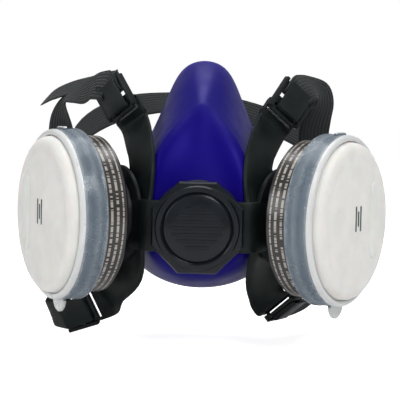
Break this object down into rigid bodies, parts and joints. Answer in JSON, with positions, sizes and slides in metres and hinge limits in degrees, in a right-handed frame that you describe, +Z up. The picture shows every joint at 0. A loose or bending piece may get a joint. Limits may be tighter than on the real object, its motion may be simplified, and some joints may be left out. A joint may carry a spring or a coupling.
{
  "type": "half-face respirator",
  "caption": "Half-face elastomer respirator with an octagonal exhalation cover, screw-on side cartridges, clip-fit prefilter retainers and an elastic strap harness.",
  "frame": {"origin": "centre of the face-seal plane, where the mask meets the wearer's face", "axes": "+Y towards the wearer, -Y the way the mask faces, +X from cartridge to cartridge, +Z up"},
  "size_m": [0.1968, 0.1439, 0.1492],
  "materials": {
    "facepiece_elastomer": "soft gloss",
    "yoke_plastic": "satin",
    "cover_plastic": "satin",
    "black_plastic": "satin",
    "buckle_plastic": "satin",
    "flap_silicone": "soft",
    "gasket_rubber": "matte",
    "cartridge_plastic": "gloss",
    "screen_scrim": "nonwoven scrim",
    "charcoal": "granular",
    "label_film": "printed film",
    "filter_felt": "moulded felt",
    "clear_plastic": "frosted clear",
    "webbing": "ribbed elastic"
  },
  "bodies": {
    "root": {"facepiece": "facepiece_elastomer", "harness_yoke": "yoke_plastic", "exhale_valve_seat": "black_plastic", "head_strap": "webbing", "neck_strap": "webbing", "left_inhale_connector": "black_plastic", "left_connector_nut": "black_plastic", "right_inhale_connector": "black_plastic", "right_connector_nut": "black_plastic"},
    "valve_cover": {"valve_cover": "cover_plastic"},
    "exhale_flap": {"exhale_valve_flap": "flap_silicone"},
    "left_inhale_flap": {"left_inhale_valve_flap": "flap_silicone"},
    "left_gasket": {"left_cartridge_gasket": "gasket_rubber"},
    "left_cartridge": {"left_cartridge_body": "cartridge_plastic", "left_cartridge_grille": "cartridge_plastic", "left_front_screen": "screen_scrim", "left_sorbent_bed": "charcoal", "left_rear_screen": "screen_scrim", "left_cartridge_label": "label_film"},
    "left_pad": {"left_prefilter_pad": "filter_felt"},
    "left_retainer": {"left_filter_retainer": "clear_plastic"},
    "right_inhale_flap": {"right_inhale_valve_flap": "flap_silicone"},
    "right_gasket": {"right_cartridge_gasket": "gasket_rubber"},
    "right_cartridge": {"right_cartridge_body": "cartridge_plastic", "right_cartridge_grille": "cartridge_plastic", "right_front_screen": "screen_scrim", "right_sorbent_bed": "charcoal", "right_rear_screen": "screen_scrim", "right_cartridge_label": "label_film"},
    "right_pad": {"right_prefilter_pad": "filter_felt"},
    "right_retainer": {"right_filter_retainer": "clear_plastic"},
    "upper_left_buckle": {"upper_left_buckle": "buckle_plastic", "upper_left_strap_end": "webbing"},
    "upper_right_buckle": {"upper_right_buckle": "buckle_plastic", "upper_right_strap_end": "webbing"},
    "lower_left_buckle": {"lower_left_buckle": "buckle_plastic", "lower_left_strap_end": "webbing"},
    "lower_right_buckle": {"lower_right_buckle": "buckle_plastic", "lower_right_strap_end": "webbing"}
  },
  "joints": [
    {"name": "valve_cover_pull", "type": "slide", "parent": "root", "child": "valve_cover", "axis": [0, -1, 0], "range_m": [0, 0.012]},
    {"name": "exhale_flap_lift", "type": "slide", "parent": "root", "child": "exhale_flap", "axis": [0, -1, 0], "range_m": [0, 0.0015], "stiffness_N_per_m": 6},
    {"name": "left_cartridge_travel", "type": "slide", "parent": "root", "child": "left_gasket", "axis": [-0.866, -0.5, 0], "range_m": [0, 0.0101]},
    {"name": "left_cartridge_turn", "type": "hinge", "parent": "left_gasket", "child": "left_cartridge", "pos_m": [-0.076, -0.06, -0.022], "axis": [-0.866, -0.5, 0], "range_deg": [0, 720]},
    {"name": "left_retainer_pull", "type": "slide", "parent": "left_cartridge", "child": "left_retainer", "axis": [-0.866, -0.5, 0], "range_m": [0, 0.018]},
    {"name": "left_pad_lift", "type": "slide", "parent": "left_cartridge", "child": "left_pad", "axis": [-0.866, -0.5, 0], "range_m": [0, 0.009]},
    {"name": "left_inhale_flap_lift", "type": "slide", "parent": "root", "child": "left_inhale_flap", "axis": [0.866, 0.5, 0], "range_m": [0, 0.0015], "stiffness_N_per_m": 6},
    {"name": "right_cartridge_travel", "type": "slide", "parent": "root", "child": "right_gasket", "axis": [0.866, -0.5, 0], "range_m": [0, 0.0101]},
    {"name": "right_cartridge_turn", "type": "hinge", "parent": "right_gasket", "child": "right_cartridge", "pos_m": [0.076, -0.06, -0.022], "axis": [0.866, -0.5, 0], "range_deg": [0, 720]},
    {"name": "right_retainer_pull", "type": "slide", "parent": "right_cartridge", "child": "right_retainer", "axis": [0.866, -0.5, 0], "range_m": [0, 0.018]},
    {"name": "right_pad_lift", "type": "slide", "parent": "right_cartridge", "child": "right_pad", "axis": [0.866, -0.5, 0], "range_m": [0, 0.009]},
    {"name": "right_inhale_flap_lift", "type": "slide", "parent": "root", "child": "right_inhale_flap", "axis": [-0.866, 0.5, 0], "range_m": [0, 0.0015], "stiffness_N_per_m": 6},
    {"name": "upper_left_buckle_hinge", "type": "hinge", "parent": "root", "child": "upper_left_buckle", "pos_m": [-0.0403, -0.027, 0.0316], "axis": [0.6422, -0.5804, 0.5007], "range_deg": [-8, 12]},
    {"name": "upper_right_buckle_hinge", "type": "hinge", "parent": "root", "child": "upper_right_buckle", "pos_m": [0.0407, -0.027, 0.031], "axis": [0.6794, 0.4282, -0.5959], "range_deg": [-8, 12]},
    {"name": "lower_left_buckle_hinge", "type": "hinge", "parent": "root", "child": "lower_left_buckle", "pos_m": [-0.058, -0.0255, -0.0725], "axis": [-0.4039, -0.2039, 0.8918], "range_deg": [-8, 12]},
    {"name": "lower_right_buckle_hinge", "type": "hinge", "parent": "root", "child": "lower_right_buckle", "pos_m": [0.042, -0.024, -0.0695], "axis": [-0.6997, 0.2743, -0.6596], "range_deg": [-8, 12]}
  ],
  "couplings": [
    {"joint": "left_cartridge_travel", "follows": "left_cartridge_turn", "m_per_rad": 0.00079577},
    {"joint": "left_pad_lift", "follows": "left_retainer_pull", "ratio": 0.5},
    {"joint": "right_cartridge_travel", "follows": "right_cartridge_turn", "m_per_rad": 0.00079577},
    {"joint": "right_pad_lift", "follows": "right_retainer_pull", "ratio": 0.5}
  ]
}
